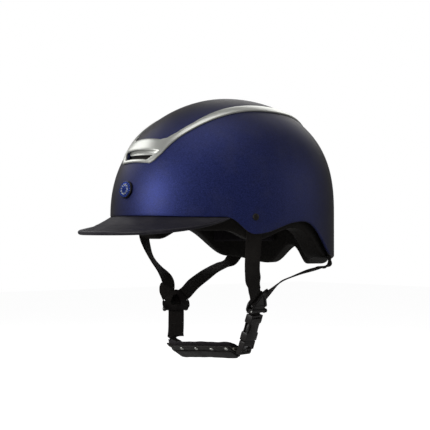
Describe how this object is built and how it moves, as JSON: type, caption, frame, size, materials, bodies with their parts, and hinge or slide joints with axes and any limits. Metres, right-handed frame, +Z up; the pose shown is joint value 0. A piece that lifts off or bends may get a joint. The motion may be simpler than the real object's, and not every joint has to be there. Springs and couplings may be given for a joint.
{
  "type": "equestrian riding helmet",
  "caption": "Riding helmet with a short peak, satin vent frame and arms, foam liner with pads, and a strap harness with dividers and a side-release buckle.",
  "frame": {"origin": "on the crown's vertical axis, level with the line where the peak meets the shell, at the middle of the wearer's head space", "axes": "+Z up towards the crown, -Y towards the peak, +X towards the wearer's left"},
  "size_m": [0.2186, 0.3174, 0.303],
  "materials": {
    "shell_paint": "matt pearl navy paint over a moulded shell",
    "peak_skin": "dark grey leather-look skin",
    "satin_trim": "satin silver, lightly brushed",
    "studs": "small bright press studs and pins",
    "badge_stones": "blue and clear cut stones",
    "foam": "black moulded foam, matt",
    "webbing": "black woven webbing",
    "pad_cloth": "black padded knit and imitation leather",
    "black_plastic": "black moulded nylon"
  },
  "bodies": {
    "helmet": {"outer_shell": "shell_paint", "peak": "peak_skin", "vent_trim": "satin_trim", "vent_mesh": "black_plastic", "badge_base": "black_plastic", "badge_face": "badge_stones", "foam_liner": "foam", "brow_pad": "pad_cloth", "crown_pad": "pad_cloth", "temple_pad_left": "pad_cloth", "temple_pad_right": "pad_cloth", "nape_pad_left": "pad_cloth", "nape_pad_right": "pad_cloth", "hook_dot_brow_left": "black_plastic", "hook_dot_brow_right": "black_plastic", "hook_dot_nape_left": "black_plastic", "hook_dot_nape_right": "black_plastic", "front_anchor_cap_left": "black_plastic", "front_anchor_cap_right": "black_plastic", "rear_anchor_plate_left": "black_plastic", "rear_anchor_plate_right": "black_plastic", "front_strap_left": "webbing", "front_strap_right": "webbing", "rear_strap_left": "webbing", "rear_strap_right": "webbing", "lower_strap_left": "webbing", "lower_strap_right": "webbing", "divider_base_left": "black_plastic", "divider_base_right": "black_plastic", "divider_pin_left": "studs", "divider_pin_right": "studs", "buckle_female": "black_plastic"},
    "flap_left": {"divider_flap_left": "black_plastic"},
    "flap_right": {"divider_flap_right": "black_plastic"},
    "chin": {"buckle_male": "black_plastic", "chin_strap": "webbing", "chin_pad": "pad_cloth", "chin_cover": "pad_cloth", "chin_stud_1": "studs", "chin_stud_2": "studs", "chin_stud_3": "studs", "chin_stud_4": "studs"},
    "prong_front": {"buckle_prong_front": "black_plastic"},
    "prong_rear": {"buckle_prong_rear": "black_plastic"}
  },
  "joints": [
    {"name": "flap_left_hinge", "type": "hinge", "parent": "helmet", "child": "flap_left", "pos_m": [0.08266, -0.02595, -0.10552], "axis": [-0.2756, 0.9613, 0], "range_deg": [0, 80]},
    {"name": "flap_right_hinge", "type": "hinge", "parent": "helmet", "child": "flap_right", "pos_m": [-0.08166, -0.01295, -0.11052], "axis": [-0.2756, -0.9613, 0], "range_deg": [0, 80]},
    {"name": "buckle_release", "type": "slide", "parent": "helmet", "child": "chin", "axis": [-0.297, -0.0852, -0.9511], "range_m": [0, 0.03]},
    {"name": "prong_front_squeeze", "type": "hinge", "parent": "chin", "child": "prong_front", "pos_m": [0.07197, -0.03635, -0.13601], "axis": [-0.9142, -0.2621, 0.309], "range_deg": [0, 6], "stiffness_Nm_per_rad": 0.08},
    {"name": "prong_rear_squeeze", "type": "hinge", "parent": "chin", "child": "prong_rear", "pos_m": [0.06811, -0.02289, -0.13601], "axis": [0.9142, 0.2621, -0.309], "range_deg": [0, 6], "stiffness_Nm_per_rad": 0.08}
  ]
}
